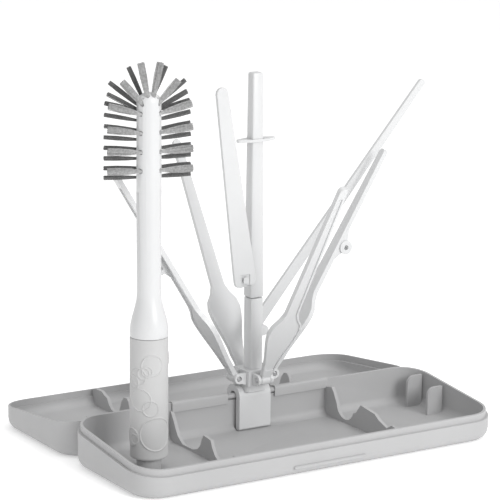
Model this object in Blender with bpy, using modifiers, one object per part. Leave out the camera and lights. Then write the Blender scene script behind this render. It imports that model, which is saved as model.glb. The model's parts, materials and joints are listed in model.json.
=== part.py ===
"""Folding drying rack for baby bottles: a hinged travel case that carries a clip-on rack of arms and a bottle brush.

World frame: Z up, origin at the centre of the tray's underside, X along the hinge line. The shapes are laid out
from the hinge line instead: the tray is on its -Y side, the opened lid on its +Y side, and the empty "hinge_line"
carries them all. Sizes are in millimetres and are turned into metres as each mesh is made.
"""

import math

import bmesh
import bpy
from mathutils import Matrix, Vector

MM = 0.001
GAP = 0.3

# Case
CASE_LENGTH = 255.0
HALF_DEPTH = 93.0
HINGE_SPLIT = 0.4
HINGE_HEIGHT = 23.7
EDGE_HEIGHT = 13.7
CORNER_RADIUS = 19.0
FOOT_FILLET = 7.0
WALL = 3.2
FLOOR = 4.0
LIP_INSET = 1.6
LIP_HEIGHT = 4.0
REBATE_INSET = 1.2
REBATE_DEPTH = 4.3
RIB_THICKNESS = 2.2
RIB_X = 57.0

# Case hinge
KNUCKLE_X = 106.0
KNUCKLE_RADIUS = 2.8
KNUCKLE_LENGTH = 7.0
HINGE_PIN_RADIUS = 1.1

# Clip rod on the tray's rear wall
ROD_Y = -2.7
ROD_Z = 25.8
ROD_RADIUS = 1.7
ROD_BAY = 17.3
BAND_END = 57.0

# Clip and hub
CLIP_WIDTH = 22.8
CLIP_BOTTOM = 4.4
CLIP_ARCH_Y = -1.55
CLIP_ARCH_Z = 25.3
CLIP_ARCH_RADIUS = 7.65
CLIP_THICKNESS = 4.35
CLIP_TOP = 33.1
CLIP_SWEEP = 8.9
HUB_Y = -6.0
HUB_BASE = 33.4
HUB_CORE = 16.0
PIVOT_RADIUS = 13.0
PIVOT_Z = 38.5
EYE_RADIUS = 3.2
EYE_WIDTH = 6.2
EAR_THICKNESS = 2.0
PIN_RADIUS = 1.3

# Arms
ARM_LENGTH = 158.0
ARM_THICKNESS = 3.0
ARM_TILT = 32.0
LEAF_SHOULDER = 43.0
LEAF_HALF_WIDTH = 11.3
LEAF_TOP = 57.0
WAIST_HALF_WIDTH = 4.4
TIP_HALF_WIDTH = 2.6
EAR_UP = 91.2
EAR_OUT = 4.9
EAR_DEPTH = 4.9

# Post and fingers
STUB_WIDTH = 9.0
STUB_TOP = 88.0
POST_TOP = 228.0
POST_BASE_WIDTH = 9.6
POST_TOP_WIDTH = 7.4
POST_DEPTH = 9.0
CROSSBAR_Z = 186.5
CROSSBAR_LOW_X = -12.9
CROSSBAR_HIGH_X = 14.4
FINGER_THICKNESS = 2.3
FRONT_FINGER_X = -10.6
FRONT_FINGER_PLANE = -6.35
FRONT_FINGER_Z = 101.5
FRONT_FINGER_TILT = -8.4
FRONT_FINGER_LENGTH = 121.0
LONG_FINGER_X = 8.5
LONG_FINGER_PLANE = 12.75
LONG_FINGER_Z = 65.6
LONG_FINGER_TILT = 40.6
LONG_FINGER_LENGTH = 194.0

# Brush
BRUSH_X = -96.3
BRUSH_Y = -45.4
BRUSH_TURN = -14.0
BOSS_RADIUS = 7.4
BOSS_TOP = 21.0
GRIP_BOTTOM = 11.4
GRIP_TOP = 84.2
GRIP_RADIUS = 11.3
CORE_RADIUS = 9.4
HEAD_TOP = 227.5
FLARE_TOP = 110.0
SHAFT_HALF_WIDTH = 7.2
SHAFT_FLATTEN = 0.8
STRIP_DEPTH = 3.3
STRIP_HALF_WIDTH = 4.6
STRIP_THICKNESS = 1.4
STRIP_BOTTOM = 174.0
STRIP_TOP = 225.0
FAN_CENTRE_Z = 211.0
FAN_RISE = 11.0

# Tufts: depth, first row's height, rows, pitch, reach, end radius, then each fanned tuft's lean and length
DARK_TUFTS = (STRIP_DEPTH, 177.8, 8, 5.45, 26.0, 1.25, ((28.0, 22.3), (39.0, 24.4), (66.0, 22.6)))
LIGHT_TUFTS = (-STRIP_DEPTH, 182.3, 4, 10.9, 25.5, 1.5, ((48.0, 20.3), (78.0, 23.4)))

ARMS = (("right", 0), ("back", 90), ("left", 180), ("front", 270))

WHITE = ((0.86, 0.87, 0.87, 1.0), 0.38, 0.0)
GREY = ((0.43, 0.43, 0.43, 1.0), 0.55, 0.0)
GRIP_GREY = ((0.40, 0.40, 0.40, 1.0), 0.75, 0.0)
STEEL = ((0.62, 0.62, 0.63, 1.0), 0.30, 1.0)
DARK_BRISTLE = ((0.13, 0.13, 0.13, 1.0), 0.45, 0.0)
LIGHT_BRISTLE = ((0.38, 0.38, 0.38, 1.0), 0.45, 0.0)


def clear_scene():
    for old in list(bpy.data.objects):
        bpy.data.objects.remove(old, do_unlink=True)


def new_collection(name):
    collection = bpy.data.collections.new(name)
    bpy.context.scene.collection.children.link(collection)
    return collection


clear_scene()
PARTS = new_collection("bottle_drying_rack")
CUTTERS = new_collection("cutters")
HINGE_LINE = bpy.data.objects.new("hinge_line", None)
HINGE_LINE.location = (0.0, (HINGE_SPLIT + HALF_DEPTH / 2) * MM, 0.0)
PARTS.objects.link(HINGE_LINE)


def material(name, look):
    colour, roughness, metallic = look
    made = bpy.data.materials.new(name)
    made.use_nodes = True
    shader = made.node_tree.nodes["Principled BSDF"]
    shader.inputs["Base Color"].default_value = colour
    shader.inputs["Roughness"].default_value = roughness
    shader.inputs["Metallic"].default_value = metallic
    return made


# Mesh helpers. Each takes millimetres and returns a bmesh in metres.


def box(low, high):
    mesh = bmesh.new()
    bmesh.ops.create_cube(mesh, size=1.0)
    size = [(b - a) * MM for a, b in zip(low, high)]
    centre = [(a + b) / 2 * MM for a, b in zip(low, high)]
    bmesh.ops.transform(mesh, matrix=Matrix.Translation(centre) @ Matrix.Diagonal((*size, 1.0)), verts=mesh.verts)
    return mesh


def cylinder(radius, start, end, sides=24, end_radius=None):
    """A round bar from one point to another, tapered when end_radius differs."""
    start, end = Vector(start), Vector(end)
    mesh = bmesh.new()
    top = radius if end_radius is None else end_radius
    length = (end - start).length
    bmesh.ops.create_cone(mesh, cap_ends=True, segments=sides, radius1=radius * MM, radius2=top * MM, depth=length * MM)
    turn = Vector((0, 0, 1)).rotation_difference(end - start).to_matrix().to_4x4()
    bmesh.ops.transform(mesh, matrix=Matrix.Translation((start + end) / 2 * MM) @ turn, verts=mesh.verts)
    return mesh


def plate(outline, thickness, plane="XZ", offset=0.0):
    """A flat outline extruded both ways, laid in the XZ, YZ or XY plane at an offset along its normal."""
    curve = bpy.data.curves.new("outline", "CURVE")
    curve.dimensions = "2D"
    curve.fill_mode = "BOTH"
    curve.extrude = thickness / 2 * MM
    spline = curve.splines.new("POLY")
    spline.points.add(len(outline) - 1)
    for point, (across, up) in zip(spline.points, outline):
        point.co = (across * MM, up * MM, 0.0, 1.0)
    spline.use_cyclic_u = True
    holder = bpy.data.objects.new("outline", curve)
    CUTTERS.objects.link(holder)
    bpy.context.view_layer.update()
    flat = bpy.data.meshes.new_from_object(holder.evaluated_get(bpy.context.evaluated_depsgraph_get()))
    bpy.data.objects.remove(holder, do_unlink=True)
    mesh = bmesh.new()
    mesh.from_mesh(flat)
    bmesh.ops.remove_doubles(mesh, verts=mesh.verts, dist=0.00001)
    turns = {
        "XY": Matrix.Identity(4),
        "XZ": Matrix.Rotation(math.pi / 2, 4, "X"),
        "YZ": Matrix.Rotation(math.pi / 2, 4, "Z") @ Matrix.Rotation(math.pi / 2, 4, "X"),
    }
    shift = {"XY": (0, 0, offset), "XZ": (0, offset, 0), "YZ": (offset, 0, 0)}[plane]
    bmesh.ops.transform(mesh, matrix=Matrix.Translation(Vector(shift) * MM) @ turns[plane], verts=mesh.verts)
    bmesh.ops.recalc_face_normals(mesh, faces=mesh.faces)
    return mesh


def bevel_edges(mesh, chosen, width, segments):
    bmesh.ops.bevel(
        mesh, geom=chosen, offset=width * MM, offset_type="OFFSET", segments=segments, profile=0.5, affect="EDGES",
        clamp_overlap=True,
    )
    return mesh


def upright_edges(mesh):
    return [e for e in mesh.edges if abs(e.verts[0].co.z - e.verts[1].co.z) > MM]


def soften(mesh, width, segments=2):
    """Rounds every edge sharper than 40 degrees."""
    sharp = [e for e in mesh.edges if e.calc_face_angle(0.0) > math.radians(40)]
    return bevel_edges(mesh, sharp, width, segments)


def add_object(name, mesh, look=None, collection=None, location=(0, 0, 0), rotation=None):
    data = bpy.data.meshes.new(name)
    mesh.to_mesh(data)
    mesh.free()
    made = bpy.data.objects.new(name, data)
    (collection or PARTS).objects.link(made)
    made.location = Vector(location) * MM
    if rotation is not None:
        made.rotation_euler = rotation.to_euler()
    if look:
        made.parent = HINGE_LINE
        data.materials.append(material(name, look))
        data.shade_smooth()
        data.set_sharp_from_angle(angle=math.radians(35))
    bpy.context.view_layer.update()
    return made


def cutter(mesh, name="cutter"):
    made = add_object(name, mesh, collection=CUTTERS)
    made.hide_render = True
    made.display_type = "WIRE"
    return made


def combine(mesh, changes):
    """Applies (operation, other bmesh) pairs in order with exact booleans and returns the resulting bmesh."""
    body = add_object("work", mesh, collection=CUTTERS)
    for operation, other in changes:
        tool = cutter(other)
        step = body.modifiers.new("step", "BOOLEAN")
        step.operation = operation
        step.solver = "EXACT"
        step.object = tool
        bpy.context.view_layer.update()
        result = bpy.data.meshes.new_from_object(body.evaluated_get(bpy.context.evaluated_depsgraph_get()))
        body.modifiers.clear()
        body.data = result
        bpy.data.objects.remove(tool, do_unlink=True)
    merged = bmesh.new()
    merged.from_mesh(body.data)
    bmesh.ops.dissolve_degenerate(merged, edges=merged.edges, dist=0.000001)
    bpy.data.objects.remove(body, do_unlink=True)
    return merged


def smooth_step(value):
    return value * value * (3.0 - 2.0 * value)


def blend(stations, at):
    """Eased interpolation through (position, value) stations."""
    for (low, a), (high, b) in zip(stations, stations[1:]):
        if at <= high:
            return a + (b - a) * smooth_step((at - low) / (high - low))
    return stations[-1][1]


def arc(centre, radius, first, last, steps):
    """Points on an arc, angles in degrees."""
    points = []
    for i in range(steps + 1):
        turn = math.radians(first + (last - first) * i / steps)
        points.append((centre[0] + radius * math.cos(turn), centre[1] + radius * math.sin(turn)))
    return points


# Case halves


def rim_height(depth):
    """Height of the parting line at a distance from the hinge line."""
    return HINGE_HEIGHT + (EDGE_HEIGHT - HINGE_HEIGHT) * (depth - HINGE_SPLIT) / HALF_DEPTH


def rounded_block(side, inset, bottom, top, fillet):
    """A block with rounded corners and a filleted foot. side is -1 for the tray and +1 for the lid."""
    near, far = HINGE_SPLIT + inset, HINGE_SPLIT + HALF_DEPTH - inset
    low, high = min(side * near, side * far), max(side * near, side * far)
    half = CASE_LENGTH / 2 - inset
    mesh = box((-half, low, bottom), (half, high, top))
    bevel_edges(mesh, upright_edges(mesh), CORNER_RADIUS - inset, 7)
    foot = [e for e in mesh.edges if max(v.co.z for v in e.verts) < (bottom + 0.01) * MM]
    bevel_edges(mesh, foot, fillet, 4)
    return mesh


def above_rim(side, lift):
    """A wedge that removes everything above the parting line raised by lift."""
    reach = HALF_DEPTH + 20.0
    slope = (EDGE_HEIGHT - HINGE_HEIGHT) / HALF_DEPTH
    near = rim_height(-20.0) + lift
    far = rim_height(-20.0) + slope * (reach + 20.0) + lift
    outline = [(side * -20.0, near), (side * reach, far), (side * reach, 90.0), (side * -20.0, 90.0)]
    if side > 0:
        outline.reverse()
    return plate(outline, CASE_LENGTH + 40.0, "YZ")


def case_shell(side, lip):
    """One case half. The tray carries a lip above the parting line and the lid a rebate that takes it."""
    body = combine(rounded_block(side, 0.0, 0.0, 40.0, FOOT_FILLET), [("DIFFERENCE", above_rim(side, 0.0))])
    if lip:
        raised = combine(
            rounded_block(side, LIP_INSET, 2.0, 40.0, FOOT_FILLET - LIP_INSET),
            [("DIFFERENCE", above_rim(side, LIP_HEIGHT))],
        )
        body = combine(body, [("UNION", raised)])
    else:
        step = combine(
            rounded_block(side, REBATE_INSET, 3.0, 50.0, 0.8),
            [("DIFFERENCE", below_rim(side, REBATE_DEPTH))],
        )
        body = combine(body, [("DIFFERENCE", step)])
    return combine(body, [("DIFFERENCE", rounded_block(side, WALL, FLOOR, 50.0, FOOT_FILLET - 2.0))])


def below_rim(side, drop):
    """A wedge that removes everything under the parting line lowered by drop."""
    reach = HALF_DEPTH + 20.0
    slope = (EDGE_HEIGHT - HINGE_HEIGHT) / HALF_DEPTH
    near = rim_height(-20.0) - drop
    far = near + slope * (reach + 20.0)
    outline = [(side * -20.0, near), (side * -20.0, -20.0), (side * reach, -20.0), (side * reach, far)]
    if side > 0:
        outline.reverse()
    return plate(outline, CASE_LENGTH + 40.0, "YZ")


def rib(outline, x):
    return plate(outline, RIB_THICKNESS, "YZ", x)


def right_rib():
    """Cross rib with a deep cradle for the brush and a shallow one for the folded rack."""
    return (
        [(-2.2, 1.5), (-2.2, 22.6), (-7.0, 22.9), (-11.2, 23.7), (-13.5, 21.0)]
        + list(reversed(arc((-26.8, 15.9), 9.6, 200.0, 352.0, 10)))
        + [(-38.4, 13.6), (-43.7, 19.9), (-58.9, 18.0), (-63.3, 15.2), (-71.9, 12.3), (-77.0, 15.2), (-91.5, 13.2)]
        + [(-91.5, 6.0), (-88.0, 1.5)]
    )


def left_rib():
    return [
        (-2.2, 1.5), (-2.2, 23.0), (-4.5, 22.8), (-8.0, 18.0), (-10.6, 13.2), (-13.4, 9.2), (-19.0, 5.6), (-31.0, 5.6),
        (-36.6, 7.2), (-40.0, 10.4), (-42.0, 15.0), (-43.8, 17.8), (-51.9, 16.8), (-54.0, 12.5), (-57.0, 8.6),
        (-60.5, 6.6), (-70.0, 5.8), (-80.0, 5.8), (-86.0, 7.6), (-91.5, 12.0), (-91.5, 6.0), (-88.0, 1.5),
    ]


def lid_rib():
    return [
        (91.5, 6.0), (91.5, 13.0), (88.0, 15.3), (79.0, 15.5), (76.0, 14.0), (72.0, 13.0), (69.0, 9.0), (66.0, 6.6),
        (60.0, 5.8), (55.5, 8.2), (52.5, 15.0), (49.5, 18.6), (45.5, 19.0), (43.5, 17.0), (41.5, 12.0), (38.0, 7.5),
        (33.0, 5.6), (24.0, 1.5), (88.0, 1.5),
    ]


def fin(y, height):
    """Upright guide near the tray's right end, rounded at its free top corner."""
    low, high, radius = 111.3, 122.6, 5.5
    corner = arc((low + radius, height - radius), radius, 180.0, 90.0, 5)
    return plate([(low, 2.0)] + corner + [(high, height), (high, 4.6), (high - 1.5, 2.0)], 2.0, "XZ", y)


def along_hinge(radius, start, end, sides=20):
    """A round bar on the case's hinge axis."""
    return cylinder(radius, (start, 0, HINGE_HEIGHT), (end, 0, HINGE_HEIGHT), sides)


def hinge_cuts(own):
    """Barrel, clearance and pin hole at both hinges. own is +1 for the tray's barrels and -1 for the lid's."""
    changes = []
    for side in (-1, 1):
        centre, outward = side * KNUCKLE_X, side * own
        clear = along_hinge(KNUCKLE_RADIUS + 0.5, centre - outward * GAP / 2, centre - outward * (KNUCKLE_LENGTH + 0.6))
        barrel_start = centre + outward * GAP / 2
        changes.append(("DIFFERENCE", clear))
        changes.append(("UNION", along_hinge(KNUCKLE_RADIUS, barrel_start, barrel_start + outward * KNUCKLE_LENGTH)))
        changes.append(("DIFFERENCE", along_hinge(HINGE_PIN_RADIUS + GAP, centre - 8.2, centre + 8.2, 16)))
    return changes


def rear_band(side):
    """Rounded band along the tray's rear wall beside the clip's bay, bored for the rod's end."""
    low, high = sorted((side * ROD_BAY, side * BAND_END))
    band = box((low, -5.0, HINGE_HEIGHT - 1.9), (high, -0.7, 28.4))
    top = [e for e in band.edges if abs(e.verts[0].co.x - e.verts[1].co.x) > MM and e.verts[0].co.z > 0.025]
    bevel_edges(band, top, 1.5, 3)
    socket = cylinder(
        ROD_RADIUS + GAP, (side * (ROD_BAY - 1.0), ROD_Y, ROD_Z), (side * (ROD_BAY + 6.0), ROD_Y, ROD_Z), 20,
    )
    return [("UNION", band), ("DIFFERENCE", socket)]


def make_tray():
    body = case_shell(-1, True)
    changes = [("UNION", rib(right_rib(), RIB_X)), ("UNION", rib(left_rib(), -RIB_X))]
    changes += [("UNION", fin(-16.0, 24.5)), ("UNION", fin(-38.0, 22.0))]
    boss = cylinder(BOSS_RADIUS, (BRUSH_X, BRUSH_Y, 2.0), (BRUSH_X, BRUSH_Y, BOSS_TOP), 28)
    top = [e for e in boss.edges if min(v.co.z for v in e.verts) > (BOSS_TOP - 0.1) * MM]
    changes.append(("UNION", bevel_edges(boss, top, 1.2, 2)))
    changes.append(("DIFFERENCE", box((-ROD_BAY, -5.4, HINGE_HEIGHT - 0.2), (ROD_BAY, 3.0, 40.0))))
    pocket = CLIP_WIDTH / 2 + 1.0
    changes.append(("DIFFERENCE", box((-pocket, -11.5, FLOOR), (pocket, -HINGE_SPLIT - WALL, 14.0))))
    changes += rear_band(-1) + rear_band(1)
    ledge = box((-25.5, -HALF_DEPTH - HINGE_SPLIT - 0.9, 4.5), (25.5, -HALF_DEPTH + 2.0, 6.6))
    changes.append(("UNION", soften(ledge, 0.5, 1)))
    changes.append(("DIFFERENCE", cylinder(1.1, (-42.0, -52.0, 2.2), (-42.0, -52.0, 6.0), 12)))
    changes += hinge_cuts(1)
    add_object("tray", combine(body, changes), GREY)


def make_lid():
    """The lid's hinge wall is notched round the hinge axis so that it turns clear of the clip."""
    notch = CLIP_WIDTH / 2 + 1.5
    changes = [("UNION", rib(lid_rib(), -60.0)), ("UNION", rib(lid_rib(), 60.0))]
    changes.append(("DIFFERENCE", along_hinge(CLIP_SWEEP, -notch, notch, 36)))
    changes += hinge_cuts(-1)
    add_object("lid", combine(case_shell(1, False), changes), GREY)


def make_hinge_pins():
    for name, centre in (("hinge_pin_left", -KNUCKLE_X), ("hinge_pin_right", KNUCKLE_X)):
        add_object(name, along_hinge(HINGE_PIN_RADIUS, centre - 7.0, centre + 7.0, 16), STEEL)


def make_clip_rod():
    reach = ROD_BAY + 5.5
    rod = cylinder(ROD_RADIUS, (-reach, ROD_Y, ROD_Z), (reach, ROD_Y, ROD_Z), 20)
    add_object("clip_rod", rod, GREY)


# Rack foot


def make_clip():
    """Spring clip: a thick plate inside the tray's rear wall that arches back over the rod, with a pad for the hub."""
    centre = (CLIP_ARCH_Y, CLIP_ARCH_Z)
    inner = CLIP_ARCH_RADIUS - CLIP_THICKNESS
    front, back = CLIP_ARCH_Y - CLIP_ARCH_RADIUS, CLIP_ARCH_Y + CLIP_ARCH_RADIUS
    outline = [(front, CLIP_BOTTOM + 1.0), (front + 1.0, CLIP_BOTTOM), (CLIP_ARCH_Y - inner, CLIP_BOTTOM)]
    outline += arc(centre, inner, 180.0, 0.0, 10)
    outline += [(CLIP_ARCH_Y + inner, CLIP_ARCH_Z - 0.8), (back, CLIP_ARCH_Z - 0.8)]
    outline += arc(centre, CLIP_ARCH_RADIUS, 0.0, 180.0, 18)
    pad = box((-7.5, HUB_Y - 5.0, CLIP_TOP - 4.2), (7.5, HUB_Y + 5.0, CLIP_TOP))
    bevel_edges(pad, upright_edges(pad), 2.5, 4)
    peg_hole = cylinder(2.6, (0, HUB_Y, CLIP_TOP - 2.6), (0, HUB_Y, CLIP_TOP + 1), 20)
    changes = [("UNION", pad), ("DIFFERENCE", peg_hole)]
    add_object("clip", combine(plate(outline, CLIP_WIDTH, "YZ"), changes), WHITE)


def arm_frame(azimuth):
    """World placement of an arm's pivot: local X points outward and local Y along the pin."""
    out = Vector((math.cos(math.radians(azimuth)), math.sin(math.radians(azimuth)), 0))
    pivot = Vector((0, HUB_Y, PIVOT_Z)) + out * PIVOT_RADIUS
    return pivot, Matrix.Rotation(math.radians(azimuth), 4, "Z")


def make_hub():
    """Core with four forked ears, and the square stub that carries the post."""
    half = HUB_CORE / 2
    core = box((-half, HUB_Y - half, HUB_BASE), (half, HUB_Y + half, PIVOT_Z + 4.5))
    bevel_edges(core, upright_edges(core), 1.2, 2)
    changes = []
    low = EYE_WIDTH / 2 + GAP
    for name, azimuth in ARMS:
        pivot, turn = arm_frame(azimuth)
        place = Matrix.Translation(pivot * MM) @ turn
        for side in (-1, 1):
            outline = [(-6.0, -4.6), (-1.5, -3.2)] + arc((0, 0), 3.2, -90.0, 90.0, 8) + [(-6.0, 3.2)]
            ear = plate(outline, EAR_THICKNESS, "XZ", side * (low + EAR_THICKNESS / 2))
            hole = cylinder(PIN_RADIUS + GAP, (0, side * low - 3, 0), (0, side * low + 3, 0), 20)
            ear = combine(ear, [("DIFFERENCE", hole)])
            bmesh.ops.transform(ear, matrix=place, verts=ear.verts)
            changes.append(("UNION", ear))
    wide = STUB_WIDTH / 2
    stub = box((-wide, HUB_Y - wide, PIVOT_Z), (wide, HUB_Y + wide, STUB_TOP))
    bevel_edges(stub, upright_edges(stub), 1.2, 2)
    tenon = box((-2.4, HUB_Y - 2.4, STUB_TOP - 1.0), (2.4, HUB_Y + 2.4, STUB_TOP + 9.0))
    peg = cylinder(2.3, (0, HUB_Y, CLIP_TOP - 2.2), (0, HUB_Y, HUB_BASE + 1), 20)
    changes += [("UNION", stub), ("UNION", tenon), ("UNION", peg)]
    changes += finger_ear(LONG_FINGER_X, LONG_FINGER_PLANE, LONG_FINGER_Z, wide)
    add_object("hub", combine(core, changes), WHITE)


def finger_ear(x, plane, z, reach):
    """Round boss beside the post that a finger swings on, out to the finger's plane, with its pin hole."""
    side = math.copysign(1.0, plane)
    near = HUB_Y + side
    face = HUB_Y + plane - side * (FINGER_THICKNESS / 2 + GAP)
    inward = -math.copysign(1.0, x) * max(abs(x) - reach + 2.0, 1.0)
    root = HUB_Y + side * 3.8
    web = box(*span((x, near, z - 2.6), (x + inward, root, z + 2.6)))
    ear = combine(cylinder(3.4, (x, near, z), (x, face, z), 20), [("UNION", web)])
    hole = cylinder(PIN_RADIUS + GAP, (x, face - side * 5.4, z), (x, face + side, z), 20)
    return [("UNION", ear), ("DIFFERENCE", hole)]


def span(a, b):
    """Low and high corners of the box between two points."""
    return tuple(map(min, a, b)), tuple(map(max, a, b))


def make_post():
    """Tapered upright that drops on to the hub's tenon."""
    bottom = STUB_TOP + GAP
    wide, deep = POST_BASE_WIDTH / 2, POST_DEPTH / 2
    post = box((-wide, HUB_Y - deep, bottom), (wide, HUB_Y + deep, POST_TOP))
    ratio = POST_TOP_WIDTH / POST_BASE_WIDTH
    for vert in post.verts:
        if vert.co.z > POST_TOP * MM * 0.9:
            vert.co.x *= ratio
            vert.co.y = HUB_Y * MM + (vert.co.y - HUB_Y * MM) * ratio
    soften(post, 1.3, 2)
    socket = box((-2.7, HUB_Y - 2.7, bottom - 1), (2.7, HUB_Y + 2.7, STUB_TOP + 9.4))
    changes = [("DIFFERENCE", socket)]
    changes += finger_ear(FRONT_FINGER_X, FRONT_FINGER_PLANE, FRONT_FINGER_Z, wide)
    add_object("post", combine(post, changes), WHITE)


def post_half_size(z):
    share = (z - STUB_TOP) / (POST_TOP - STUB_TOP)
    taper = 1.0 + (POST_TOP_WIDTH / POST_BASE_WIDTH - 1.0) * share
    return POST_BASE_WIDTH / 2 * taper, POST_DEPTH / 2 * taper


def make_crossbar():
    """Flat plate threaded down the post to where the taper holds it."""
    middle = (CROSSBAR_LOW_X + CROSSBAR_HIGH_X) / 2
    low, high = CROSSBAR_LOW_X + 2.0, CROSSBAR_HIGH_X - 2.0
    outline = [(low, -2.0), (middle - 6.0, -4.6), (middle + 6.0, -4.6), (high, -2.0)]
    outline += arc((high, 0.0), 2.0, -90.0, 90.0, 6)[1:]
    outline += [(middle + 6.0, 4.6), (middle - 6.0, 4.6), (low, 2.0)]
    outline += arc((low, 0.0), 2.0, 90.0, 270.0, 6)[1:-1]
    bar = plate([(x, HUB_Y + y) for x, y in outline], 1.8, "XY", CROSSBAR_Z)
    wide, deep = post_half_size(CROSSBAR_Z - 1.0)
    bore = box((-wide - GAP, HUB_Y - deep - GAP, CROSSBAR_Z - 2.0), (wide + GAP, HUB_Y + deep + GAP, CROSSBAR_Z + 2.0))
    add_object("crossbar", combine(bar, [("DIFFERENCE", bore)]), WHITE)


# Arms


def leaf_half_width(up):
    """Half width of an arm: a leaf-shaped shoulder low down, a waist, then a long slim blade."""
    if up < LEAF_TOP:
        stations = [(0.0, 3.0), (4.5, 3.1), (9.0, 4.4), (LEAF_SHOULDER, LEAF_HALF_WIDTH), (LEAF_TOP, WAIST_HALF_WIDTH)]
        return blend(stations, up)
    share = (up - LEAF_TOP) / (ARM_LENGTH - TIP_HALF_WIDTH - LEAF_TOP)
    return WAIST_HALF_WIDTH + (TIP_HALF_WIDTH - WAIST_HALF_WIDTH) * min(share, 1.0)


def leaf_outline(bottom, top, shrink, round_top):
    """Closed outline of the arm between two heights, drawn in by shrink."""
    count = 30
    right = []
    for i in range(count + 1):
        up = bottom + (top - bottom) * i / count
        right.append((max(leaf_half_width(up) - shrink, 0.4), up))
    tip = []
    if round_top:
        radius = right[-1][0]
        tip = arc((0.0, top), radius, 0.0, 180.0, 6)[1:-1]
    left = [(-across, up) for across, up in reversed(right)]
    return right + tip + left


def make_arm(name, azimuth):
    """A leaf-shaped arm with its eye at the origin and a shallow pocket on the outer face. Side arms have a lug."""
    blade = plate(leaf_outline(0.0, ARM_LENGTH - TIP_HALF_WIDTH, 0.0, True), ARM_THICKNESS, "YZ")
    eye = cylinder(EYE_RADIUS, (0, -EYE_WIDTH / 2, 0), (0, EYE_WIDTH / 2, 0), 20)
    pocket = plate(leaf_outline(9.0, ARM_LENGTH - 8.0, 1.3, False), 1.4, "YZ", ARM_THICKNESS / 2)
    changes = [("DIFFERENCE", pocket), ("UNION", eye)]
    if azimuth in (0, 180):
        lug = cylinder(4.4, (EAR_OUT, -0.8, EAR_UP), (EAR_OUT, -EAR_DEPTH, EAR_UP), 24)
        rim = EAR_OUT - 0.5
        web = [(0.0, EAR_UP - 14), (rim, EAR_UP - 4.2), (rim, EAR_UP + 4.2), (0.0, EAR_UP + 14)]
        hole = cylinder(PIN_RADIUS + GAP, (EAR_OUT, 3, EAR_UP), (EAR_OUT, -9, EAR_UP), 20)
        changes += [("UNION", plate(web, 2.6, "XZ", -2.4)), ("UNION", lug), ("DIFFERENCE", hole)]
    changes.append(("DIFFERENCE", cylinder(PIN_RADIUS + GAP, (0, -6, 0), (0, 6, 0), 20)))
    pivot, turn = arm_frame(azimuth)
    rotation = turn @ Matrix.Rotation(math.radians(ARM_TILT), 4, "Y")
    add_object(name, combine(blade, changes), WHITE, location=pivot, rotation=rotation)


def make_arms():
    for name, azimuth in ARMS:
        make_arm("arm_" + name, azimuth)


def make_arm_pins():
    reach = EYE_WIDTH / 2 + GAP + EAR_THICKNESS
    for name, azimuth in ARMS:
        pivot, turn = arm_frame(azimuth)
        pin = cylinder(PIN_RADIUS, (0, -reach, 0), (0, reach, 0), 20)
        add_object("pin_" + name, pin, STEEL, location=pivot, rotation=turn)


# Fingers


def finger_mesh(base, tip, length):
    """A long tapered blade in the XZ plane with a pin hole at the origin and a round tip."""
    tip_radius = tip / 2
    half, foot, corner = base / 2, min(base / 2, 4.2), min(base / 2, 3.6)
    outline = arc((-half + corner, corner - foot), corner, 180.0, 270.0, 5)
    outline += arc((half - corner, corner - foot), corner, 270.0, 360.0, 5)
    outline += [(half, 4.0)] + arc((0, length - tip_radius), tip_radius, 0.0, 180.0, 6) + [(-half, 4.0)]
    hole = cylinder(PIN_RADIUS + GAP, (0, -4, 0), (0, 4, 0), 20)
    return combine(plate(outline, FINGER_THICKNESS, "XZ"), [("DIFFERENCE", hole)])


def make_fingers():
    front = (FRONT_FINGER_X, HUB_Y + FRONT_FINGER_PLANE, FRONT_FINGER_Z)
    lean = Matrix.Rotation(math.radians(FRONT_FINGER_TILT), 4, "Y")
    add_object("finger_front", finger_mesh(15.0, 8.0, FRONT_FINGER_LENGTH), WHITE, location=front, rotation=lean)
    back = (LONG_FINGER_X, HUB_Y + LONG_FINGER_PLANE, LONG_FINGER_Z)
    lean = Matrix.Rotation(math.radians(LONG_FINGER_TILT), 4, "Y")
    add_object("finger_long", finger_mesh(7.6, 4.4, LONG_FINGER_LENGTH), WHITE, location=back, rotation=lean)


def make_finger_pin(name, x, plane, z, head_height):
    """A round pin through a finger into its boss, with a square head outside the finger."""
    side = math.copysign(1.0, plane)
    outer = HUB_Y + plane + side * (FINGER_THICKNESS / 2 + GAP)
    shank = cylinder(PIN_RADIUS, (x, outer - side * 7.0, z), (x, outer + side * head_height / 2, z), 20)
    head = box(*span((x - 1.8, outer, z - 1.8), (x + 1.8, outer + side * head_height, z + 1.8)))
    add_object(name, combine(shank, [("UNION", head)]), WHITE)


def make_finger_pins():
    make_finger_pin("pin_finger_front", FRONT_FINGER_X, FRONT_FINGER_PLANE, FRONT_FINGER_Z, 0.9)
    make_finger_pin("pin_finger_long", LONG_FINGER_X, LONG_FINGER_PLANE, LONG_FINGER_Z, 0.6)


# Brush


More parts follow.
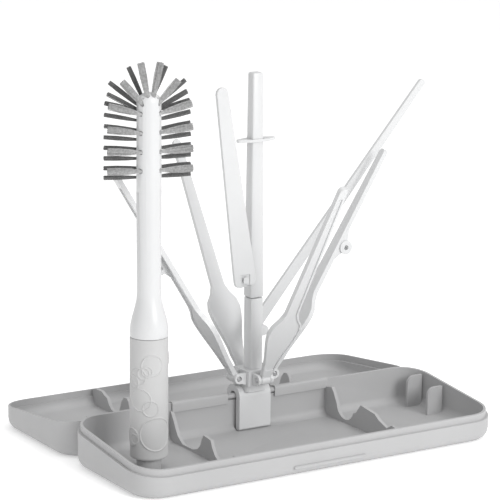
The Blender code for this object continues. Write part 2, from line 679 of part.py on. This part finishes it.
def turned(profile, sides, flatten_from=None):
    """A solid turned about Z from (radius, height) points listed top to bottom, closed on the axis."""
    data = bpy.data.meshes.new("profile")
    line = bmesh.new()
    verts = [line.verts.new((radius * MM, 0.0, height * MM)) for radius, height in profile]
    for a, b in zip(verts, verts[1:]):
        line.edges.new((a, b))
    line.to_mesh(data)
    line.free()
    holder = bpy.data.objects.new("profile", data)
    CUTTERS.objects.link(holder)
    screw = holder.modifiers.new("turn", "SCREW")
    screw.steps = sides
    screw.render_steps = sides
    screw.use_merge_vertices = True
    screw.merge_threshold = 0.00005
    bpy.context.view_layer.update()
    made = bpy.data.meshes.new_from_object(holder.evaluated_get(bpy.context.evaluated_depsgraph_get()))
    bpy.data.objects.remove(holder, do_unlink=True)
    mesh = bmesh.new()
    mesh.from_mesh(made)
    bmesh.ops.remove_doubles(mesh, verts=mesh.verts, dist=0.00002)
    bmesh.ops.recalc_face_normals(mesh, faces=mesh.faces)
    if flatten_from is not None:
        for vert in mesh.verts:
            share = min(max((vert.co.z / MM - flatten_from) / 20.0, 0.0), 1.0)
            vert.co.y *= 1.0 + (SHAFT_FLATTEN - 1.0) * smooth_step(share)
    return mesh


def add_brush_piece(name, mesh, look):
    turn = Matrix.Rotation(math.radians(BRUSH_TURN), 4, "Z")
    add_object(name, mesh, look, location=(BRUSH_X, BRUSH_Y, 0), rotation=turn)


def make_brush_body():
    """White moulding: core under the grip, flared collar, flat-sided shaft and round-topped head."""
    profile = [(0.0, HEAD_TOP)]
    profile += [(SHAFT_HALF_WIDTH * math.sin(math.radians(a)), HEAD_TOP - 6.0 * (1 - math.cos(math.radians(a))))
                for a in (30, 55, 75, 90)]
    profile += [(7.4, 170.0), (7.1, FLARE_TOP + 1.0)]
    for i in range(1, 7):
        share = i / 6
        drop = (FLARE_TOP - GRIP_TOP - 4.0) * share
        profile.append((7.1 + (11.2 - 7.1) * smooth_step(share), FLARE_TOP - drop))
    profile += [(11.2, GRIP_TOP + GAP), (CORE_RADIUS, GRIP_TOP + GAP), (CORE_RADIUS, GRIP_BOTTOM + 1.0)]
    profile += [(BOSS_RADIUS + 0.5, GRIP_BOTTOM + 1.0), (BOSS_RADIUS + 0.5, BOSS_TOP + 0.4), (0.0, BOSS_TOP + 0.4)]
    slots = []
    for side in (-1, 1):
        low = (-9.0, side * STRIP_DEPTH - STRIP_THICKNESS / 2 - GAP, STRIP_BOTTOM)
        high = (9.0, side * STRIP_DEPTH + STRIP_THICKNESS / 2 + GAP, HEAD_TOP + 2.0)
        slots.append(("DIFFERENCE", box(low, high)))
    add_brush_piece("brush_body", combine(turned(profile, 28, 100.0), slots), WHITE)


def make_brush_grip():
    outer, inner = GRIP_RADIUS, CORE_RADIUS + GAP
    profile = [(inner, GRIP_TOP), (outer - 0.5, GRIP_TOP), (outer, GRIP_TOP - 0.5)]
    profile += [(outer, GRIP_BOTTOM + 1.4), (outer - 1.4, GRIP_BOTTOM), (inner, GRIP_BOTTOM), (inner, GRIP_TOP)]
    add_brush_piece("brush_grip", turned(profile, 32), GRIP_GREY)


def tuft(start, direction, length, end_radius):
    """One tuft, flaring toward its free end."""
    start = Vector(start)
    end = start + Vector(direction).normalized() * length
    return cylinder(0.55, start, end, 6, end_radius=end_radius)


def make_strip(name, look, tufts):
    """A bristle strip in its slot, tufted down both sides and fanned over the top of the head."""
    depth, first_z, rows, pitch, reach, end_radius, fan = tufts
    half = STRIP_THICKNESS / 2
    strip = box((-STRIP_HALF_WIDTH, depth - half, STRIP_BOTTOM + GAP), (STRIP_HALF_WIDTH, depth + half, STRIP_TOP - GAP))
    made = []
    for side in (-1, 1):
        for row in range(rows):
            rise = 0.03 + 0.24 * (row / (rows - 1)) ** 2
            start = (side * 4.0, depth, first_z + row * pitch)
            made.append(tuft(start, (side, 0, rise), reach - 4.0, end_radius))
        for lean, length in fan:
            across, up = math.cos(math.radians(lean)), math.sin(math.radians(lean))
            start = (side * STRIP_HALF_WIDTH * across, depth, FAN_CENTRE_Z + FAN_RISE * up)
            made.append(tuft(start, (side * across, 0, up), length, end_radius))
    add_brush_piece(name, combine(strip, [("UNION", one) for one in made]), look)


make_tray()
make_lid()
make_hinge_pins()
make_clip_rod()
make_clip()
make_hub()
make_post()
make_crossbar()
make_arms()
make_arm_pins()
make_fingers()
make_finger_pins()
make_brush_body()
make_brush_grip()
make_strip("tufts_dark", DARK_BRISTLE, DARK_TUFTS)
make_strip("tufts_light", LIGHT_BRISTLE, LIGHT_TUFTS)
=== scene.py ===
import json
import math
import random
from collections import namedtuple

import bmesh
import bpy
from mathutils import Matrix, Vector

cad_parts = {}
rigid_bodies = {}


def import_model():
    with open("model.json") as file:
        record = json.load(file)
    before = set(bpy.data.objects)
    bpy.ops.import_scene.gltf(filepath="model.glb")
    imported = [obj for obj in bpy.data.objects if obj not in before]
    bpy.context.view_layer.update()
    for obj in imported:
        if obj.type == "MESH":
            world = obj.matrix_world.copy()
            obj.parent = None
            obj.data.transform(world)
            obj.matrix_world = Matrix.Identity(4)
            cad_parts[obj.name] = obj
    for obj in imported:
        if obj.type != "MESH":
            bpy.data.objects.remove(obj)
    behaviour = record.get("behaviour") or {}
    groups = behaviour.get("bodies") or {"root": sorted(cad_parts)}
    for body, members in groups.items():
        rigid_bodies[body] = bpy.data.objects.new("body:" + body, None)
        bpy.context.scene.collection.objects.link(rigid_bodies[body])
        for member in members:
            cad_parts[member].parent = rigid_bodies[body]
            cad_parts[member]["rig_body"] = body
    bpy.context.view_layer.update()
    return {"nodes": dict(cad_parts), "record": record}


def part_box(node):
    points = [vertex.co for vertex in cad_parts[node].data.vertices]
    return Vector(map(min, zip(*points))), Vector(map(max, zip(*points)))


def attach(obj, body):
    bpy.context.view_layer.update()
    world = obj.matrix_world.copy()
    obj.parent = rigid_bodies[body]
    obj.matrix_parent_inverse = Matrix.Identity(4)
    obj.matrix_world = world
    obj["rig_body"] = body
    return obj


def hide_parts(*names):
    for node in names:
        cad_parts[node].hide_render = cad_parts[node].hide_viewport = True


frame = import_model()

MM = 0.001
SLOTS = {part["node"]: part["material_slot"] for part in frame["record"]["subparts"]}

# Camera: the photograph's direction, distance and small roll
CAMERA_PLACE = Vector((-0.72815, -1.11844, 0.41275))
CAMERA_BACK = Vector((-0.51846, -0.82875, 0.21064))
CAMERA_ROLL = math.radians(0.5327)
CAMERA_LENS = 163.9

# Edge rounding, in millimetres
CASE_EDGE = 0.45
RACK_EDGE = 0.35
BRUSH_EDGE = 0.3
PIN_EDGE = 0.15

# Grip rings, in millimetres: distance round the sleeve from the side facing the camera, height and radius
RING_HEIGHT = 0.5
RING_WIDTH = 0.3
RINGS = (
    (2.3, 69.0, 6.2), (-2.8, 64.3, 3.5), (-6.2, 62.4, 4.9), (-0.6, 65.5, 3.0), (-9.8, 58.6, 4.0), (-5.0, 48.3, 6.6),
    (1.4, 43.2, 4.6), (5.1, 27.5, 10.0), (-11.0, 25.0, 5.2), (-9.2, 24.0, 3.0),
)
RING_REPEATS = 2
RING_FLIP = 95.6
GRIP_WALL = 1.55
GRIP_TOP_ROUND = 0.6
GRIP_BOTTOM_ROUND = 1.4
GRIP_COLUMNS, GRIP_ROWS = 240, 210

# Bristles, in millimetres: fan holds the lean in degrees and the length of each fanned tuft
Tufts = namedtuple("Tufts", "depth first_z rows pitch reach spread_up spread_across filaments fan")
TUFTS = {
    "tufts_dark": Tufts(3.3, 177.8, 8, 5.45, 26.0, 1.3, 1.1, 30, ((28.0, 22.3), (39.0, 24.4), (66.0, 22.6))),
    "tufts_light": Tufts(-3.3, 182.3, 4, 10.9, 25.5, 2.1, 1.2, 48, ((48.0, 20.3), (78.0, 23.4))),
}
BRUSH_TURN = math.radians(-14.0)
ROOT_X = 4.6
ROOT_SPREAD = 0.62
RISE_FIRST = 0.03
RISE_GAIN = 0.24
FAN_CENTRE_Z = 211.0
FAN_RISE = 11.0
STRIP_WIDTH, STRIP_THICKNESS = 9.2, 1.3
STRIP_LOW, STRIP_HIGH = 174.4, 224.6
FILAMENT_RADIUS = 0.17
FILAMENT_TURN = 2.39996
TIP_JITTER = 0.12

# Brush head, in millimetres
HEAD_LOW = 169.5
HOLE_RADIUS = 1.35


# Materials


class Look:
    """A Principled material whose colour, roughness and relief come from procedural textures."""

    def __init__(self, name, colour, roughness, metallic=0.0):
        self.material = bpy.data.materials.new(name)
        self.material.use_nodes = True
        self.nodes = self.material.node_tree.nodes
        self.links = self.material.node_tree.links
        self.shader = self.nodes["Principled BSDF"]
        self.shader.inputs["Base Color"].default_value = (*colour, 1.0)
        self.shader.inputs["Roughness"].default_value = roughness
        self.shader.inputs["Metallic"].default_value = metallic
        self.colour = colour
        self.place = self.nodes.new("ShaderNodeTexCoord").outputs["Object"]
        self.normal = None

    def noise(self, scale, detail, stretch=None):
        place = self.place
        if stretch:
            mapping = self.nodes.new("ShaderNodeMapping")
            mapping.inputs["Scale"].default_value = stretch
            self.links.new(place, mapping.inputs["Vector"])
            place = mapping.outputs["Vector"]
        texture = self.nodes.new("ShaderNodeTexNoise")
        texture.inputs["Scale"].default_value = scale
        texture.inputs["Detail"].default_value = detail
        self.links.new(place, texture.inputs["Vector"])
        return texture.outputs["Fac"]

    def vary_colour(self, scale, amount):
        """Mixes the colour with itself made lighter and darker by a share."""
        ramp = self.nodes.new("ShaderNodeValToRGB")
        low, high = ramp.color_ramp.elements
        low.position, high.position = 0.3, 0.7
        low.color = (*(c * (1.0 - amount) for c in self.colour), 1.0)
        high.color = (*(min(c * (1.0 + amount), 1.0) for c in self.colour), 1.0)
        self.links.new(self.noise(scale, 4.0), ramp.inputs["Fac"])
        self.links.new(ramp.outputs["Color"], self.shader.inputs["Base Color"])

    def vary_roughness(self, scale, low, high):
        spread = self.nodes.new("ShaderNodeMapRange")
        spread.inputs["From Min"].default_value = 0.3
        spread.inputs["From Max"].default_value = 0.7
        spread.inputs["To Min"].default_value = low
        spread.inputs["To Max"].default_value = high
        self.links.new(self.noise(scale, 3.0), spread.inputs["Value"])
        self.links.new(spread.outputs["Result"], self.shader.inputs["Roughness"])

    def relief(self, scale, strength, depth, stretch=None):
        """Adds a layer of bump; layers stack in the order they are added."""
        bump = self.nodes.new("ShaderNodeBump")
        bump.inputs["Strength"].default_value = strength
        bump.inputs["Distance"].default_value = depth * MM
        self.links.new(self.noise(scale, 2.0, stretch), bump.inputs["Height"])
        if self.normal:
            self.links.new(self.normal, bump.inputs["Normal"])
        self.normal = bump.outputs["Normal"]
        self.links.new(self.normal, self.shader.inputs["Normal"])


def case_look():
    """Fine spark-eroded satin moulding with faint flow mottling."""
    look = Look("case_grey", (0.425, 0.425, 0.428), 0.5)
    look.vary_colour(16.0, 0.035)
    look.vary_roughness(60.0, 0.46, 0.58)
    look.relief(2600.0, 0.35, 0.05)
    look.relief(40.0, 0.10, 0.25)
    look.shader.inputs["Specular IOR Level"].default_value = 0.42
    return look.material


def rack_look():
    """Polished white moulding, slightly translucent at its edges."""
    look = Look("rack_white", (0.63, 0.634, 0.638), 0.34)
    look.vary_colour(22.0, 0.015)
    look.vary_roughness(90.0, 0.28, 0.40)
    look.relief(55.0, 0.12, 0.2)
    look.relief(1800.0, 0.08, 0.03)
    look.shader.inputs["Subsurface Weight"].default_value = 0.08
    look.shader.inputs["Subsurface Radius"].default_value = (1.0, 1.0, 0.95)
    look.shader.inputs["Subsurface Scale"].default_value = 1.2 * MM
    return look.material


def grip_look():
    """Matte elastomer with a dry, slightly powdery skin."""
    look = Look("grip_grey", (0.50, 0.50, 0.50), 0.8)
    look.vary_colour(35.0, 0.05)
    look.vary_roughness(140.0, 0.72, 0.88)
    look.relief(1500.0, 0.45, 0.06)
    look.shader.inputs["Sheen Weight"].default_value = 0.12
    look.shader.inputs["Sheen Roughness"].default_value = 0.5
    return look.material


def steel_look():
    """Drawn wire: fine scratches along each pin."""
    look = Look("pin_steel", (0.60, 0.60, 0.61), 0.3, 1.0)
    look.vary_colour(300.0, 0.08)
    look.vary_roughness(500.0, 0.22, 0.42)
    look.relief(1200.0, 0.2, 0.03, (1.0, 1.0, 8.0))
    return look.material


def bristle_look(name, shade):
    """Nylon filament, each a little lighter or darker than the next."""
    look = Look(name, (shade, shade, shade), 0.42)
    look.vary_colour(900.0, 0.30)
    look.vary_roughness(700.0, 0.34, 0.52)
    look.relief(3000.0, 0.15, 0.02)
    return look.material


LOOKS = {
    "case_grey": case_look(),
    "rack_white": rack_look(),
    "pin_steel": steel_look(),
    "grip_grey": grip_look(),
    "bristle_dark": bristle_look("bristle_dark", 0.12),
    "bristle_light": bristle_look("bristle_light", 0.36),
}


# Pieces


def add_piece(name, mesh, nodes, smooth_angle=35.0):
    """Puts a finished bmesh in place of CAD nodes, on their body and in their material."""
    data = bpy.data.meshes.new(name)
    mesh.to_mesh(data)
    mesh.free()
    data.shade_smooth()
    data.set_sharp_from_angle(angle=math.radians(smooth_angle))
    piece = bpy.data.objects.new(name, data)
    bpy.context.scene.collection.objects.link(piece)
    data.materials.append(LOOKS[SLOTS[nodes[0]]])
    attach(piece, frame["nodes"][nodes[0]]["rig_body"])
    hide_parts(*nodes)
    return piece


def node_mesh(node):
    """A copy of a CAD node's mesh with its flat faces made whole again."""
    mesh = bmesh.new()
    mesh.from_mesh(frame["nodes"][node].data)
    bmesh.ops.remove_doubles(mesh, verts=mesh.verts, dist=1e-6)
    bmesh.ops.dissolve_limit(mesh, angle_limit=math.radians(0.6), verts=mesh.verts, edges=mesh.edges)
    return mesh


def cut(mesh, tools, operation="DIFFERENCE"):
    """Subtracts a bmesh of closed tools from a bmesh, or joins it on."""
    holders = []
    for source in (mesh, tools):
        data = bpy.data.meshes.new("work")
        source.to_mesh(data)
        source.free()
        holders.append(bpy.data.objects.new("work", data))
        bpy.context.scene.collection.objects.link(holders[-1])
    body, tool = holders
    step = body.modifiers.new("cut", "BOOLEAN")
    step.operation = operation
    step.solver = "EXACT"
    step.use_self = True
    step.object = tool
    bpy.context.view_layer.update()
    result = bmesh.new()
    result.from_mesh(bpy.data.meshes.new_from_object(body.evaluated_get(bpy.context.evaluated_depsgraph_get())))
    for holder in holders:
        bpy.data.objects.remove(holder, do_unlink=True)
    bmesh.ops.remove_doubles(result, verts=result.verts, dist=1e-5)
    bmesh.ops.dissolve_degenerate(result, edges=result.edges, dist=1e-6)
    return result


def round_edges(piece, width, segments=3):
    bevel = piece.modifiers.new("edges", "BEVEL")
    bevel.width = width * MM
    bevel.segments = segments
    bevel.limit_method = "ANGLE"
    bevel.angle_limit = math.radians(34)
    bevel.harden_normals = True


def cylinder_into(mesh, radius, start, end):
    start, end = Vector(start) * MM, Vector(end) * MM
    turn = Vector((0, 0, 1)).rotation_difference(end - start).to_matrix().to_4x4()
    place = Matrix.Translation((start + end) / 2) @ turn
    bmesh.ops.create_cone(
        mesh, cap_ends=True, segments=20, radius1=radius * MM, radius2=radius * MM, depth=(end - start).length,
        matrix=place,
    )


def box_into(mesh, place, size):
    bmesh.ops.create_cube(mesh, size=1.0, matrix=place @ Matrix.Diagonal((*(s * MM for s in size), 1.0)))


def softened(node, width):
    """Puts the node's own shape back with its edges rounded."""
    round_edges(add_piece(node + "_moulded", node_mesh(node), [node]), width)


def make_case():
    for node in ("tray", "lid"):
        softened(node, CASE_EDGE)
    softened("clip_rod", PIN_EDGE)


def make_rack():
    for node in ("clip", "hub", "post", "crossbar", "arm_left", "arm_right", "arm_back", "arm_front", "finger_long"):
        softened(node, RACK_EDGE)
    for node in ("pin_finger_front", "pin_finger_long", "pin_left", "pin_right", "pin_back", "pin_front"):
        softened(node, PIN_EDGE)
    for node in ("hinge_pin_left", "hinge_pin_right"):
        softened(node, PIN_EDGE)


def make_front_finger():
    """The finger with the square recess that its snap head sits in."""
    low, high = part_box("pin_finger_front")
    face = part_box("finger_front")[0].y
    tools = bmesh.new()
    centre = Vector(((low.x + high.x) / 2, face, (low.z + high.z) / 2))
    box_into(tools, Matrix.Translation(centre), (6.4, 1.4, 6.4))
    mesh = cut(node_mesh("finger_front"), tools)
    round_edges(add_piece("finger_front_moulded", mesh, ["finger_front"]), RACK_EDGE)


# Brush


def brush_axis():
    low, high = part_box("brush_grip")
    return (low.x + high.x) / 2 / MM, (low.y + high.y) / 2 / MM


def brush_place():
    """Carries the brush's own frame, in metres from its axis, to where the brush stands."""
    return Matrix.Translation(Vector((*brush_axis(), 0.0)) * MM) @ Matrix.Rotation(BRUSH_TURN, 4, "Z")


def tuft_lines(node):
    """Root point, direction and length of every side tuft, then of every fanned tuft, in the brush's frame."""
    tufts = TUFTS[node]
    level, fanned = [], []
    for side in (-1, 1):
        for row in range(tufts.rows):
            root = Vector((side * ROOT_X, tufts.depth, tufts.first_z + row * tufts.pitch))
            away = Vector((side, 0, RISE_FIRST + RISE_GAIN * (row / (tufts.rows - 1)) ** 2)).normalized()
            level.append((root, away, tufts.reach - ROOT_X))
        for lean, length in tufts.fan:
            across, up = math.cos(math.radians(lean)), math.sin(math.radians(lean))
            root = Vector((side * ROOT_X * across, tufts.depth, FAN_CENTRE_Z + FAN_RISE * up))
            fanned.append((root, Vector((side * across, 0, up)), length))
    return level, fanned


def filament_into(mesh, start, end, bend, radius):
    """One filament as a four-sided tube bowed a little to one side."""
    along = (end - start).normalized()
    across = along.cross(Vector((0, 1, 0))).normalized()
    up = along.cross(across)
    rings = []
    for step in range(4):
        share = step / 3
        centre = start.lerp(end, share) + bend * (4.0 * share * (1.0 - share))
        ring = []
        for corner in range(4):
            turn = math.radians(45 + 90 * corner)
            ring.append(mesh.verts.new((centre + (across * math.cos(turn) + up * math.sin(turn)) * radius) * MM))
        rings.append(ring)
    for a, b in zip(rings, rings[1:]):
        for i in range(4):
            j = (i + 1) % 4
            mesh.faces.new((a[i], a[j], b[j], b[i]))
    mesh.faces.new(list(reversed(rings[0])))
    mesh.faces.new(rings[-1])


def make_bristles():
    """Each tuft is a bundle of filaments that spreads from its hole to a flat-cut end."""
    draw = random.Random(7)
    depthward = Vector((0, 1, 0))
    for node, tufts in TUFTS.items():
        mesh = bmesh.new()
        middle = Vector((0.0, tufts.depth, (STRIP_LOW + STRIP_HIGH) / 2))
        box_into(mesh, Matrix.Translation(middle * MM), (STRIP_WIDTH, STRIP_THICKNESS, STRIP_HIGH - STRIP_LOW))
        bmesh.ops.bevel(
            mesh, geom=list(mesh.edges), offset=BRUSH_EDGE * MM, offset_type="OFFSET", segments=2, profile=0.5,
            affect="EDGES",
        )
        level, fanned = tuft_lines(node)
        for root, away, length in level + fanned:
            up = away.cross(depthward).normalized()
            for i in range(tufts.filaments):
                radius = math.sqrt((i + 0.5) / tufts.filaments)
                turn = i * FILAMENT_TURN
                high, wide = up * math.cos(turn) * radius, depthward * math.sin(turn) * radius
                jitter = Vector([draw.uniform(-TIP_JITTER, TIP_JITTER) for _ in range(3)])
                start = root + (high + wide) * ROOT_SPREAD
                end = root + away * length * draw.uniform(0.985, 1.0)
                end = end + high * tufts.spread_up + wide * tufts.spread_across + jitter
                bow = high * tufts.spread_up * draw.uniform(0.25, 0.4)
                filament_into(mesh, start, end, bow, FILAMENT_RADIUS)
        bmesh.ops.recalc_face_normals(mesh, faces=mesh.faces)
        bmesh.ops.transform(mesh, matrix=brush_place(), verts=mesh.verts)
        add_piece(node + "_filaments", mesh, [node])


def head_skin(body):
    """The rounded head as one solid, without the slots that hold the strips."""
    skin = bmesh.new()
    for vert in body.verts:
        if vert.co.z > HEAD_LOW * MM:
            skin.verts.new(vert.co)
    bmesh.ops.convex_hull(skin, input=skin.verts)
    loose = [vert for vert in skin.verts if not vert.link_faces]
    bmesh.ops.delete(skin, geom=loose, context="VERTS")
    bmesh.ops.recalc_face_normals(skin, faces=skin.faces)
    return skin


def make_brush_body():
    """The white moulding with a round-mouthed hole where each tuft leaves the head."""
    tools = bmesh.new()
    for node in TUFTS:
        level, fanned = tuft_lines(node)
        for root, away, _ in level + fanned:
            cylinder_into(tools, HOLE_RADIUS, root + away * 0.4, root + away * 7.0)
    bmesh.ops.transform(tools, matrix=brush_place(), verts=tools.verts)
    body = node_mesh("brush_body")
    skin = head_skin(body)
    mesh = cut(cut(body, skin, "UNION"), tools)
    round_edges(add_piece("brush_body_moulded", mesh, ["brush_body"]), BRUSH_EDGE, 2)


def ring_height(around, height, circumference):
    """Height of the raised rings at a point of the sleeve, in millimetres."""
    top = 0.0
    for repeat in range(RING_REPEATS):
        shift = repeat * circumference / RING_REPEATS
        for ring_around, ring_z, ring_radius in RINGS:
            across = (around - ring_around - shift + circumference / 2) % circumference - circumference / 2
            ring_up = ring_z if repeat % 2 == 0 else RING_FLIP - ring_z
            off = (math.hypot(across, height - ring_up) - ring_radius) / RING_WIDTH
            if abs(off) < 3.0:
                top = max(top, math.exp(-off * off))
    return top * RING_HEIGHT


def make_grip():
    """Elastomer sleeve with overlapping raised rings, rolled at both ends."""
    low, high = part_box("brush_grip")
    x, y = brush_axis()
    radius = (high.x - low.x) / 2 / MM
    bottom, top = low.z / MM, high.z / MM
    inner = radius - GRIP_WALL
    facing = math.atan2(CAMERA_BACK.y, CAMERA_BACK.x)
    circumference = 2 * math.pi * radius
    profile = [(inner, top)]
    high_edge, low_edge = GRIP_TOP_ROUND, GRIP_BOTTOM_ROUND
    profile += [
        (radius - high_edge + high_edge * math.sin(t), top - high_edge + high_edge * math.cos(t))
        for t in (0.0, 0.5, 1.0)
    ]
    first = len(profile)
    span = (top - high_edge, bottom + low_edge)
    profile += [(radius, span[0] + (span[1] - span[0]) * i / GRIP_ROWS) for i in range(GRIP_ROWS + 1)]
    last = len(profile)
    profile += [
        (radius - low_edge + low_edge * math.cos(t), bottom + low_edge - low_edge * math.sin(t))
        for t in (0.4, 0.8, 1.2, math.pi / 2)
    ]
    profile += [(inner, bottom)]
    mesh = bmesh.new()
    grid = []
    for index, (r, z) in enumerate(profile):
        line = []
        for column in range(GRIP_COLUMNS):
            turn = 2 * math.pi * column / GRIP_COLUMNS
            around = ((turn + math.pi) % (2 * math.pi) - math.pi) * radius
            lift = ring_height(around, z, circumference) if first <= index < last else 0.0
            angle = facing + turn
            out = r + lift
            line.append(mesh.verts.new(((x + out * math.cos(angle)) * MM, (y + out * math.sin(angle)) * MM, z * MM)))
        grid.append(line)
    for a, b in zip(grid, grid[1:] + grid[:1]):
        for i in range(GRIP_COLUMNS):
            j = (i + 1) % GRIP_COLUMNS
            mesh.faces.new((a[i], b[i], b[j], a[j]))
    bmesh.ops.recalc_face_normals(mesh, faces=mesh.faces)
    add_piece("brush_grip_sleeve", mesh, ["brush_grip"], 50.0)


# Studio


def add_camera():
    data = bpy.data.cameras.new("camera")
    data.lens = CAMERA_LENS
    data.sensor_width = 36.0
    camera = bpy.data.objects.new("camera", data)
    camera.location = CAMERA_PLACE
    turn = CAMERA_BACK.to_track_quat("Z", "Y").to_matrix().to_4x4() @ Matrix.Rotation(CAMERA_ROLL, 4, "Z")
    camera.rotation_euler = turn.to_euler()
    bpy.context.scene.collection.objects.link(camera)
    bpy.context.scene.camera = camera


def add_floor():
    mesh = bmesh.new()
    bmesh.ops.create_grid(mesh, x_segments=8, y_segments=8, size=6.0)
    data = bpy.data.meshes.new("floor")
    mesh.to_mesh(data)
    mesh.free()
    floor = bpy.data.objects.new("floor", data)
    floor.location.z = -0.1 * MM
    bpy.context.scene.collection.objects.link(floor)
    look = Look("floor", (0.96, 0.96, 0.96), 0.9)
    look.vary_colour(3.0, 0.005)
    look.shader.inputs["Emission Color"].default_value = (1.0, 1.0, 1.0, 1.0)
    look.shader.inputs["Emission Strength"].default_value = 0.3
    data.materials.append(look.material)


def add_light(name, place, size, power, aim=(0.0, 0.0, 0.1)):
    data = bpy.data.lights.new(name, "AREA")
    data.shape = "RECTANGLE"
    data.size, data.size_y = size
    data.energy = power
    light = bpy.data.objects.new(name, data)
    light.location = place
    light.rotation_euler = (Vector(place) - Vector(aim)).to_track_quat("Z", "Y").to_euler()
    bpy.context.scene.collection.objects.link(light)


def add_studio():
    add_light("key", (0.4, -2.0, 0.95), (0.9, 0.9), 23)
    add_light("top", (0.1, -0.3, 2.2), (1.6, 1.6), 12)
    world = bpy.data.worlds.new("studio")
    world.use_nodes = True
    world.node_tree.nodes["Background"].inputs["Color"].default_value = (1.0, 1.0, 1.0, 1.0)
    world.node_tree.nodes["Background"].inputs["Strength"].default_value = 0.68
    bpy.context.scene.world = world
    bpy.context.scene.view_settings.view_transform = "Standard"


make_case()
make_rack()
make_front_finger()
make_brush_body()
make_bristles()
make_grip()
add_camera()
add_floor()
add_studio()
